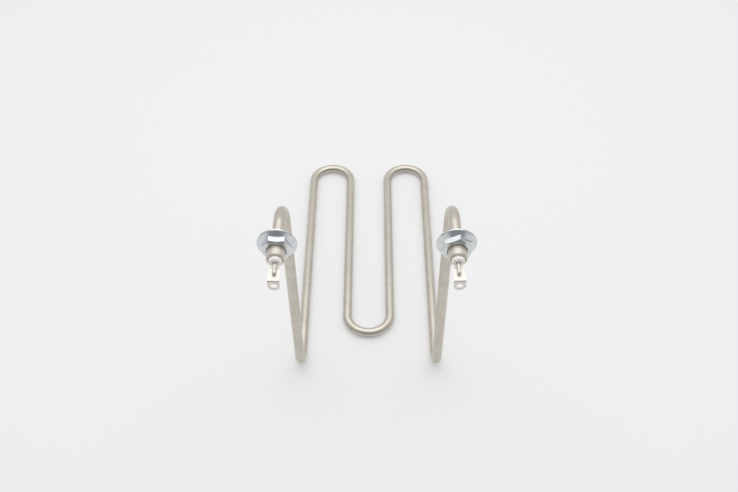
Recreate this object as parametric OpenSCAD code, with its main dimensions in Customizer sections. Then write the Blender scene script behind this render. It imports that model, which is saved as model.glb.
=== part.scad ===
// Tubular heating element of a lift-out fryer: one sheath tube bent into a flat W that lies in
// the oil, two risers, and two level terminal ends with threaded bushings, flange nuts,
// ceramic insulators and ring tabs. All sizes are in millimetres. The element lies on its W:
// +Z is up, the terminals point along -Y, and the origin is the middle of the footprint.

/* [Sheath tube] */
// Outside diameter of the sheath tube
tube_d = 8; // [6.5:0.1:9.6]
// Wall thickness of the sheath tube
tube_wall = 0.7; // [0.5:0.05:1]

/* [Element shape] */
// Distance between the centre lines of neighbouring legs
leg_pitch = 38; // [30:0.5:60]
// Riser plane to the outermost point of the far bends' centre line
far_reach = 252; // [180:1:400]
// Riser plane to the nearest point of the middle bend's centre line
near_reach = 37; // [20:1:80]
// Height of the terminals' centre line above that of the legs
riser_height = 201; // [150:1:320]
// Centre-line radius of the bend at the foot of each riser
foot_bend_r = 19; // [14:0.5:30]
// Centre-line radius of the bend at the head of each riser
head_bend_r = 26; // [14:0.5:32]

/* [Inside the tube] */
// Diameter of the cold pins
pin_d = 2.5; // [2:0.1:3.2]
// How far each cold pin runs down its riser, below the head bend
cold_drop = 80; // [20:1:90]
// Outside diameter of the resistance coil
coil_d = 3; // [2.8:0.1:4]
// Thickness of the coil's wire
coil_wire = 0.35; // [0.2:0.05:0.5]
// Length of the seal that closes each end of the tube
seal_len = 3; // [2:0.5:6]

/* [Threaded bushing] */
// Riser plane to the face of the collar, on which the nut's flange bears
seat_reach = 43.4; // [41:0.1:70]
// Length of the threaded part in front of the collar
stud_len = 15.1; // [14:0.1:30]
// Outside diameter of the thread
thread_d = 12; // [12:0.5:14]
// Chamfer at the free end of the thread
stud_chamfer = 0.6; // [0.3:0.1:1]
// Diameter of the collar
collar_d = 17; // [15:0.5:22]
// Thickness of the collar
collar_t = 2; // [1.5:0.1:4]
// How far the end of the tube stays back inside the bushing
tube_setback = 3.5; // [2:0.1:6]

/* [Flange nut] */
// Width across the flats of the hexagon
nut_af = 18; // [17:0.5:22]
// Height of the nut with its flange
nut_h = 7.6; // [6.5:0.1:12]
// Diameter of the flange
flange_d = 26; // [25:0.5:36]
// Thickness of the flange at its rim
rim_t = 1.4; // [1:0.1:2]
// Height at which the conical flange meets the hexagon's flats
flange_h = 3.2; // [2.5:0.1:4]
// Turn of the left nut, clockwise from a flat on top
left_nut_turn = 3.5; // [-30:0.5:30]
// Turn of the right nut, clockwise from a flat on top
right_nut_turn = -22; // [-30:0.5:30]

/* [Ceramic insulator] */
// How far the head stands out past the tube all round
head_lip = 0.3; // [0.2:0.05:0.5]
// Length of the head, from the end of the tube to its front
head_len = 6; // [5:0.1:15]
// Length of the spigot inside the tube
spigot_len = 3; // [2:0.5:6]
// Radius of the rounded front edge
head_round = 1.5; // [0.5:0.1:1.6]
// Clearance between the cold pin and the hole through the insulator
pin_clearance = 0.35; // [0.1:0.05:0.4]
// Clearance of the insulator in the tube and in the mouth of the bushing
head_clearance = 0.2; // [0.1:0.05:0.3]

/* [Terminal tab] */
// Width of the tab
tab_w = 7.5; // [6:0.1:10]
// Thickness of the tab
tab_t = 0.8; // [0.6:0.1:1.2]
// Level leg of the tab, from its rear end to the front face of the hanging leg
tab_len = 11.7; // [10:0.1:16]
// Gap between the insulator's front and the rear end of the tab
tab_gap = 1.8; // [1:0.1:4]
// Inside radius of the tab's bend
tab_bend = 0.5; // [0.3:0.1:1]
// Radius of the tab's rear corners
tab_corner = 1.4; // [0.5:0.1:2.5]
// Diameter of the hole for the wire's screw
tab_hole_d = 4.3; // [3.2:0.1:5.3]
// Depth of that hole's centre below the terminal's centre line
tab_hole_drop = 6.1; // [5:0.1:9]
// Length of the cold pin that lies welded on the tab
weld_len = 6.7; // [4:0.1:8]
// Depth to which welding pressed the pin flat
weld_flat = 0.12; // [0.05:0.01:0.3]
// Turn of the left tab about the upright, towards +X at the front
left_tab_turn = -1.5; // [-5:0.1:5]
// Turn of the right tab about the upright, towards +X at the front
right_tab_turn = 2.3; // [-5:0.1:5]

/* [Hidden] */
$fn = 96;
LEFT = -1;
RIGHT = 1;
steel_colour = [0.72, 0.70, 0.66];
zinc_colour = [0.70, 0.72, 0.73];
nickel_colour = [0.66, 0.62, 0.55];
ceramic_colour = [0.95, 0.94, 0.90];
magnesia_colour = [0.93, 0.92, 0.88];
wire_colour = [0.45, 0.44, 0.42];
seal_colour = [0.62, 0.30, 0.22];

// Radii of what lies inside the tube
tube_r = tube_d / 2;
bore_r = tube_r - tube_wall;
pin_r = pin_d / 2;
coil_r = coil_d / 2;
coil_bore_r = coil_r - coil_wire;

// Straight stretches between the bends
u_bend_r = leg_pitch / 2;
side_x = 1.5 * leg_pitch;
riser_run = riser_height - foot_bend_r - head_bend_r;
outer_run = far_reach - u_bend_r - foot_bend_r;
inner_run = far_reach - near_reach - 2 * u_bend_r;

// Stations along a terminal, as distances in front of the riser plane
stud_end = seat_reach + stud_len;
tube_end = stud_end - tube_setback;
spigot_end = tube_end - spigot_len;
fill_end = spigot_end - seal_len;
head_end = tube_end + head_len;
tab_rear = head_end + tab_gap;
tab_front = tab_rear + tab_len;
pin_end = tab_rear + weld_len;
weld_middle = (tab_rear + pin_end) / 2;

// Fits of the insulator
head_r = tube_r + head_lip;
spigot_r = bore_r - head_clearance;
mouth_r = head_r + head_clearance;
mouth_chamfer = 0.4;
pin_hole_r = pin_r + pin_clearance;

// The tab lies under the pin, on the flat that welding made, which starts just behind it
weld_margin = 0.4;
tab_top = -(pin_r - weld_flat);
tab_outer_bend = tab_bend + tab_t;

// Nut details
hex_chamfer_angle = 30;
hex_face_d = nut_af - 1.2;
nut_countersink = 0.7;
rim_break = 0.3;

// The footprint runs from the foremost corner of a tab to the far bends
function tab_reach(turn) = weld_middle + (tab_front - weld_middle) * cos(turn)
    + tab_w / 2 * abs(sin(turn));
front_y = -max(tab_reach(left_tab_turn), tab_reach(right_tab_turn));
back_y = far_reach + tube_r;
origin_y = (front_y + back_y) / 2;

// A route is a list of steps: ["run", length] or ["bend", radius, angle, roll], where roll
// turns the tube about its own axis before the bend is made
function w_route(drop) = [
    ["run", drop],
    ["bend", foot_bend_r, 90, 180],
    ["run", outer_run],
    ["bend", u_bend_r, 180, 90],
    ["run", inner_run],
    ["bend", u_bend_r, 180, 180],
    ["run", inner_run],
    ["bend", u_bend_r, 180, 180],
    ["run", outer_run],
    ["bend", foot_bend_r, 90, -90],
    ["run", drop]
];
// From a station on the terminal, round the head bend and down the riser
function terminal_route(station, drop) = [
    ["run", station - head_bend_r],
    ["bend", head_bend_r, 90, 0],
    ["run", drop]
];
function whole_route(station) = concat(
    [["run", station - head_bend_r], ["bend", head_bend_r, 90, 0]],
    w_route(riser_run),
    [["bend", head_bend_r, 90, 180], ["run", station - head_bend_r]]
);

// Carries a flat section along a route that sets out along +Z
module follow(route, i = 0) {
    if (i < len(route)) {
        step = route[i];
        if (step[0] == "run") {
            linear_extrude(step[1]) children();
            translate([0, 0, step[1]]) follow(route, i + 1) children();
        } else {
            r = step[1];
            angle = step[2];
            rotate([0, 0, step[3]]) {
                translate([r, 0, 0]) rotate([-90, 0, 0]) rotate([0, 0, 180])
                    rotate_extrude(angle = angle) translate([r, 0]) children();
                translate([r * (1 - cos(angle)), 0, r * sin(angle)]) rotate([0, angle, 0])
                    follow(route, i + 1) children();
            }
        }
    }
}

module ring(inner_r, outer_r) {
    difference() {
        circle(outer_r);
        circle(inner_r);
    }
}

// Moves the riser plane and the legs' centre line to their places over the footprint
module stand() {
    translate([0, -origin_y, tube_r]) children();
}

// Start of a terminal route: at the given station, heading back to the riser
module from_terminal(side, station) {
    stand() translate([side * side_x, -station, riser_height]) rotate([0, 90, 90]) children();
}

// Start of the heated length: in the left riser, heading down
module from_cold_end() {
    stand() translate([-side_x, 0, riser_height - head_bend_r - cold_drop])
        rotate([180, 0, -90]) children();
}

// Terminal axis: +Z runs forwards from the riser plane and +Y is up
module on_terminal(side) {
    stand() translate([side * side_x, 0, riser_height]) rotate([90, 0, 0]) children();
}

module sheath_tube() {
    color(steel_colour) from_terminal(LEFT, tube_end) follow(whole_route(tube_end))
        ring(bore_r, tube_r);
}

// Compacted powder: round the pins, round the coil and through its middle
module magnesia_fill() {
    heated = w_route(riser_run - cold_drop);
    color(magnesia_colour) {
        for (side = [LEFT, RIGHT]) from_terminal(side, fill_end)
            follow(terminal_route(fill_end, cold_drop)) ring(pin_r, bore_r);
        from_cold_end() follow(heated) ring(coil_r, bore_r);
        from_cold_end() follow(heated) circle(coil_bore_r);
    }
}

// Outline of the close-wound coil, from one cold pin to the other
module heating_coil() {
    color(wire_colour) from_cold_end() follow(w_route(riser_run - cold_drop))
        ring(coil_bore_r, coil_r);
}

module cold_pin(side) {
    color(nickel_colour) difference() {
        from_terminal(side, pin_end) follow(terminal_route(pin_end, cold_drop)) circle(pin_r);
        on_terminal(side) translate([-pin_d, tab_top - pin_d, tab_rear - weld_margin])
            cube([2 * pin_d, pin_d, weld_len + 2 * weld_margin]);
    }
}

module end_seal(side) {
    color(seal_colour) on_terminal(side) translate([0, 0, fill_end])
        linear_extrude(seal_len) ring(pin_r, bore_r);
}

module ceramic_insulator(side) {
    round_z = head_end - head_round;
    color(ceramic_colour) on_terminal(side) rotate_extrude() {
        translate([pin_hole_r, spigot_end]) square([spigot_r - pin_hole_r, spigot_len]);
        translate([pin_hole_r, tube_end]) square([head_r - pin_hole_r, head_len - head_round]);
        translate([pin_hole_r, round_z]) square([head_r - head_round - pin_hole_r, head_round]);
        intersection() {
            translate([head_r - head_round, round_z]) circle(head_round);
            translate([head_r - head_round, round_z]) square(head_round);
        }
    }
}

// One turned piece, brazed to the tube: a collar and a threaded stud with a stepped bore
module threaded_bushing(side) {
    thread_r = thread_d / 2;
    color(nickel_colour) on_terminal(side) rotate_extrude() polygon([
        [tube_r, seat_reach - collar_t],
        [collar_d / 2, seat_reach - collar_t],
        [collar_d / 2, seat_reach],
        [thread_r, seat_reach],
        [thread_r, stud_end - stud_chamfer],
        [thread_r - stud_chamfer, stud_end],
        [mouth_r + mouth_chamfer, stud_end],
        [mouth_r, stud_end - mouth_chamfer],
        [mouth_r, tube_end],
        [tube_r, tube_end]
    ]);
}

// Pressed flange nut: a hexagon with a chamfered top on a conical flange
module flange_nut(side, turn) {
    corner_r = nut_af / sqrt(3);
    face_r = hex_face_d / 2;
    cone_r = corner_r + 1;
    thread_r = thread_d / 2;
    color(zinc_colour) on_terminal(side) translate([0, 0, seat_reach]) difference() {
        union() {
            rotate_extrude() polygon([
                [0, 0],
                [flange_d / 2 - rim_break, 0],
                [flange_d / 2, rim_break],
                [flange_d / 2, rim_t - rim_break],
                [flange_d / 2 - rim_break, rim_t],
                [nut_af / 2, flange_h],
                [0, flange_h]
            ]);
            intersection() {
                rotate([0, 0, -turn]) cylinder(h = nut_h, r = corner_r, $fn = 6);
                rotate_extrude() polygon([
                    [0, 0],
                    [cone_r, 0],
                    [cone_r, nut_h - (cone_r - face_r) * tan(hex_chamfer_angle)],
                    [face_r, nut_h],
                    [0, nut_h]
                ]);
            }
        }
        translate([0, 0, -1]) cylinder(h = nut_h + 2, r = thread_r);
        translate([0, 0, nut_h - nut_countersink])
            cylinder(h = nut_countersink, r1 = thread_r, r2 = thread_r + nut_countersink);
        cylinder(h = nut_countersink, r1 = thread_r + nut_countersink, r2 = thread_r);
    }
}

// Stamped strip: a level leg under the pin, one bend, and a round-ended leg with a hole
module terminal_tab(side, turn) {
    hang_z = tab_front - tab_t;
    bend_y = tab_top - tab_outer_bend;
    bend_z = tab_front - tab_outer_bend;
    color(nickel_colour) on_terminal(side)
    translate([0, 0, weld_middle]) rotate([0, turn, 0]) translate([0, 0, -weld_middle])
    difference() {
        union() {
            translate([-tab_w / 2, tab_top - tab_t, tab_rear + tab_corner])
                cube([tab_w, tab_t, bend_z - tab_rear - tab_corner]);
            translate([-tab_w / 2 + tab_corner, tab_top - tab_t, tab_rear])
                cube([tab_w - 2 * tab_corner, tab_t, tab_corner]);
            for (x = [-1, 1]) translate([x * (tab_w / 2 - tab_corner), tab_top, tab_rear + tab_corner])
                rotate([90, 0, 0]) cylinder(h = tab_t, r = tab_corner);
            intersection() {
                translate([-tab_w / 2, bend_y, bend_z]) rotate([0, 90, 0]) linear_extrude(tab_w)
                    ring(tab_bend, tab_outer_bend);
                translate([-tab_w / 2, bend_y, bend_z])
                    cube([tab_w, tab_outer_bend, tab_outer_bend]);
            }
            translate([-tab_w / 2, -tab_hole_drop, hang_z])
                cube([tab_w, bend_y + tab_hole_drop, tab_t]);
            translate([0, -tab_hole_drop, hang_z]) cylinder(h = tab_t, r = tab_w / 2);
        }
        translate([0, -tab_hole_drop, hang_z - 1]) cylinder(h = tab_t + 2, r = tab_hole_d / 2);
    }
}

sheath_tube();
magnesia_fill();
heating_coil();
cold_pin(LEFT);  // left_cold_pin
cold_pin(RIGHT);  // right_cold_pin
end_seal(LEFT);  // left_end_seal
end_seal(RIGHT);  // right_end_seal
ceramic_insulator(LEFT);  // left_ceramic_insulator
ceramic_insulator(RIGHT);  // right_ceramic_insulator
threaded_bushing(LEFT);  // left_threaded_bushing
threaded_bushing(RIGHT);  // right_threaded_bushing
flange_nut(LEFT, left_nut_turn);  // left_flange_nut
flange_nut(RIGHT, right_nut_turn);  // right_flange_nut
terminal_tab(LEFT, left_tab_turn);  // left_terminal_tab
terminal_tab(RIGHT, right_tab_turn);  // right_terminal_tab
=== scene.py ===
import math

import bpy
from mathutils import Matrix, Vector

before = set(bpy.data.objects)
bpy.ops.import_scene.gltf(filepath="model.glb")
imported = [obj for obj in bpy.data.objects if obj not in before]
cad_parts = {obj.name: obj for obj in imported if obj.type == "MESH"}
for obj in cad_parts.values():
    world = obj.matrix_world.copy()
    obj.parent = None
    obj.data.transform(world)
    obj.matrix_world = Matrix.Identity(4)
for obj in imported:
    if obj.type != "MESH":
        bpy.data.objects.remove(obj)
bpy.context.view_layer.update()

MM = 0.001
PHOTO_WIDTH = 738
focal_length_px = 830.948
camera_place = Vector((3.98, -495.02, 590.23)) * MM
look_down = math.radians(47.088)
look_aside = math.radians(-0.406)
tip = math.radians(-0.387)

ahead = Vector((math.sin(look_aside) * math.cos(look_down),
                math.cos(look_aside) * math.cos(look_down), -math.sin(look_down)))
level_right = Vector((math.cos(look_aside), -math.sin(look_aside), 0))
level_up = level_right.cross(ahead)
right = level_right * math.cos(tip) + level_up * math.sin(tip)
up = -level_right * math.sin(tip) + level_up * math.cos(tip)

lens = bpy.data.cameras.new("studio_camera")
lens.sensor_width = 36
lens.lens = lens.sensor_width * focal_length_px / PHOTO_WIDTH
lens.clip_start, lens.clip_end = 0.01, 100
camera = bpy.data.objects.new("studio_camera", lens)
turn = Matrix((right, up, -ahead)).transposed().to_4x4()
camera.matrix_world = Matrix.Translation(camera_place) @ turn
bpy.context.scene.collection.objects.link(camera)
bpy.context.scene.camera = camera
bpy.context.scene.view_settings.view_transform = "Standard"

# Table and light
# A white sweep under a wide diffuser that hangs above and behind the element. The room on the
# camera's side is dimmer, and bright metal shows that as the dark band along its front edges.


def new_material(name):
    """An empty node material, and its tree."""
    made = bpy.data.materials.new(name)
    made.use_nodes = True
    made.node_tree.nodes.clear()
    return made, made.node_tree


def node(tree, kind, settings=None, **inputs):
    """One node of a tree. A socket given for an input is linked to it, anything else sets it.
    i6 is the input with number 6, and an underscore stands for a space in a name."""
    made = tree.nodes.new(kind)
    for key, value in (settings or {}).items():
        setattr(made, key, value)
    for key, value in inputs.items():
        socket = made.inputs[int(key[1:]) if key[1:].isdigit() else key.replace("_", " ")]
        if isinstance(value, bpy.types.NodeSocket):
            tree.links.new(value, socket)
        else:
            socket.default_value = value
    return made


paper, tree = new_material("white_paper")
place = node(tree, "ShaderNodeTexCoord").outputs["Object"]
fibres = node(tree, "ShaderNodeTexNoise", Vector=place, Scale=900.0, Detail=2.0).outputs["Fac"]
white = node(tree, "ShaderNodeMapRange", Value=fibres, To_Min=0.845, To_Max=0.855)
sheet = node(tree, "ShaderNodeBsdfDiffuse", Color=white.outputs["Result"])
through = node(tree, "ShaderNodeEmission", Color=(0.93, 0.93, 0.935, 1), Strength=1.0)
sheet = node(tree, "ShaderNodeMixShader", i0=0.25, i1=sheet.outputs[0], i2=through.outputs[0])
node(tree, "ShaderNodeOutputMaterial", Surface=sheet.outputs[0])

edge = 12.0
table = bpy.data.meshes.new("table")
table.from_pydata([(-edge, -edge, 0), (edge, -edge, 0), (edge, edge, 0), (-edge, edge, 0)], [],
                  [(0, 1, 2, 3)])
table.materials.append(paper)
table = bpy.data.objects.new("table", table)
bpy.context.scene.collection.objects.link(table)

studio = bpy.data.worlds.new("studio")
bpy.context.scene.world = studio
studio.use_nodes = True
tree = studio.node_tree
tree.nodes.clear()
direction = node(tree, "ShaderNodeTexCoord").outputs["Generated"]
towards = node(tree, "ShaderNodeVectorMath", {"operation": "DOT_PRODUCT"}, i0=direction,
               i1=(0.0, 0.62, 0.78)).outputs["Value"]
towards = node(tree, "ShaderNodeMapRange", Value=towards, From_Min=-1.0, From_Max=1.0)
glow = node(tree, "ShaderNodeValToRGB", Fac=towards.outputs["Result"])
stops = glow.color_ramp
stops.interpolation = "EASE"
stops.elements[0].position, stops.elements[0].color = 0.38, (0.34, 0.34, 0.35, 1)
stops.elements[1].position, stops.elements[1].color = 0.78, (1.0, 1.0, 1.0, 1)
stops.elements.new(0.60).color = (0.78, 0.78, 0.78, 1)
to_camera = node(tree, "ShaderNodeLightPath").outputs["Is Camera Ray"]
# The Mix node has the names A and B once for each of its types, so its colours go in by number
seen = node(tree, "ShaderNodeMix", {"data_type": "RGBA"}, Factor=to_camera,
            i6=glow.outputs["Color"], i7=(0.93, 0.93, 0.935, 1))
sky = node(tree, "ShaderNodeBackground", Color=seen.outputs[2], Strength=0.85)
node(tree, "ShaderNodeOutputWorld", Surface=sky.outputs[0])

diffuser = bpy.data.lights.new("overhead_diffuser", "AREA")
diffuser.shape = "RECTANGLE"
diffuser.size, diffuser.size_y = 1.6, 1.3
diffuser.energy = 6.0
diffuser = bpy.data.objects.new("overhead_diffuser", diffuser)
hung_at = Vector((0, 0.25, 1.25))
aim = (Vector((0, 0.02, 0.05)) - hung_at).to_track_quat("-Z", "Y")
diffuser.matrix_world = Matrix.Translation(hung_at) @ aim.to_matrix().to_4x4()
diffuser.visible_camera = False
bpy.context.scene.collection.objects.link(diffuser)

# Sheath tube
# One drawn stainless tube, 8 mm across, bent cold into a flat W with two risers and two level
# ends. It was annealed and pickled, so it is satin, warm grey and faintly blotched.


def new_effect(name, takes, gives):
    """A node group for the materials, with named inputs and outputs."""
    made = bpy.data.node_groups.new(name, "ShaderNodeTree")
    for key, (kind, value) in takes.items():
        socket = made.interface.new_socket(name=key, in_out="INPUT", socket_type=kind)
        socket.default_value = value
    for key, kind in gives.items():
        made.interface.new_socket(name=key, in_out="OUTPUT", socket_type=kind)
    return made, made.nodes.new("NodeGroupInput").outputs, made.nodes.new("NodeGroupOutput").inputs


def value_of(tree, kind, settings=None, **inputs):
    """The first output of a new node."""
    return node(tree, kind, settings, **inputs).outputs[0]


def mixed(tree, share, low, high):
    """A colour between two others."""
    return node(tree, "ShaderNodeMix", {"data_type": "RGBA"}, Factor=share, i6=low,
                i7=high).outputs[2]


def metal(tree, colour, roughness, height, depth):
    """Joins a metal's patterns to its shader and output. The depth is that of the bump."""
    bump = value_of(tree, "ShaderNodeBump", Height=height, Distance=depth, Strength=1.0)
    shader = node(tree, "ShaderNodeBsdfPrincipled", Base_Color=colour, Roughness=roughness,
                  Normal=bump, Metallic=1.0)
    node(tree, "ShaderNodeOutputMaterial", Surface=shader.outputs[0])


# Fine lines left by a die, a lathe or a roll: noise drawn out along one direction
fine_lines, takes, gives = new_effect(
    "fine_lines", {"Vector": ("NodeSocketVector", (0, 0, 0)), "Closeness": ("NodeSocketVector", (1, 1, 1))},
    {"Lines": "NodeSocketFloat"})
stretched = value_of(fine_lines, "ShaderNodeMapping", Vector=takes["Vector"], Scale=takes["Closeness"])
lines = value_of(fine_lines, "ShaderNodeTexNoise", Vector=stretched, Scale=1.0, Detail=3.0, Roughness=0.6)
fine_lines.links.new(lines, gives["Lines"])

# Soft patches of tone, such as pickling and handling leave on metal
soft_patches, takes, gives = new_effect(
    "soft_patches", {"Vector": ("NodeSocketVector", (0, 0, 0)), "Scale": ("NodeSocketFloat", 100.0)},
    {"Patches": "NodeSocketFloat"})
cloud = value_of(soft_patches, "ShaderNodeTexNoise", Vector=takes["Vector"], Scale=takes["Scale"],
                 Detail=4.0, Roughness=0.55, Distortion=0.4)
cloud = value_of(soft_patches, "ShaderNodeMapRange", Value=cloud, From_Min=0.3, From_Max=0.7)
soft_patches.links.new(cloud, gives["Patches"])

satin, tree = new_material("satin_stainless")
place = node(tree, "ShaderNodeTexCoord").outputs["Object"]
height_above_table = node(tree, "ShaderNodeSeparateXYZ", Vector=place).outputs["Z"]
above_foot = value_of(tree, "ShaderNodeMapRange", Value=height_above_table, From_Min=0.020, From_Max=0.034)
below_head = value_of(tree, "ShaderNodeMapRange", Value=height_above_table, From_Min=0.176, From_Max=0.190,
                      To_Min=1.0, To_Max=0.0)
upright = value_of(tree, "ShaderNodeMath", {"operation": "MULTIPLY"}, i0=above_foot, i1=below_head)
level_lines = value_of(tree, "ShaderNodeGroup", {"node_tree": fine_lines}, Vector=place,
                       Closeness=(2600.0, 55.0, 2600.0))
upright_lines = value_of(tree, "ShaderNodeGroup", {"node_tree": fine_lines}, Vector=place,
                         Closeness=(2600.0, 2600.0, 55.0))
lines = value_of(tree, "ShaderNodeMix", Factor=upright, A=level_lines, B=upright_lines)
patches = value_of(tree, "ShaderNodeGroup", {"node_tree": soft_patches}, Vector=place, Scale=95.0)
speckle = value_of(tree, "ShaderNodeTexNoise", Vector=place, Scale=2200.0, Detail=2.0)
tone = value_of(tree, "ShaderNodeMix", Factor=0.35, A=patches, B=lines)
colour = mixed(tree, tone, (0.515, 0.475, 0.405, 1), (0.635, 0.60, 0.54, 1))
rough = value_of(tree, "ShaderNodeMapRange", Value=patches, To_Min=0.33, To_Max=0.25)
height = value_of(tree, "ShaderNodeMix", Factor=0.5, A=lines, B=speckle)
metal(tree, colour, rough, height, 0.012 * MM)

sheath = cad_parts["sheath_tube"]
sheath.data.materials[0] = satin

# Flange nuts
# Two pressed steel nuts on the bushings, zinc plated and bright, with a faintly clouded finish.
# Their shape is the frame's own, and one material serves both.
zinc, tree = new_material("bright_zinc")
place = node(tree, "ShaderNodeTexCoord").outputs["Object"]
patches = value_of(tree, "ShaderNodeGroup", {"node_tree": soft_patches}, Vector=place, Scale=300.0)
colour = mixed(tree, patches, (0.62, 0.65, 0.66, 1), (0.74, 0.77, 0.78, 1))
rough = value_of(tree, "ShaderNodeMapRange", Value=patches, To_Min=0.12, To_Max=0.2)
metal(tree, colour, rough, patches, 0.005 * MM)

for name in ("left_flange_nut", "right_flange_nut"):
    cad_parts[name].data.materials[0] = zinc
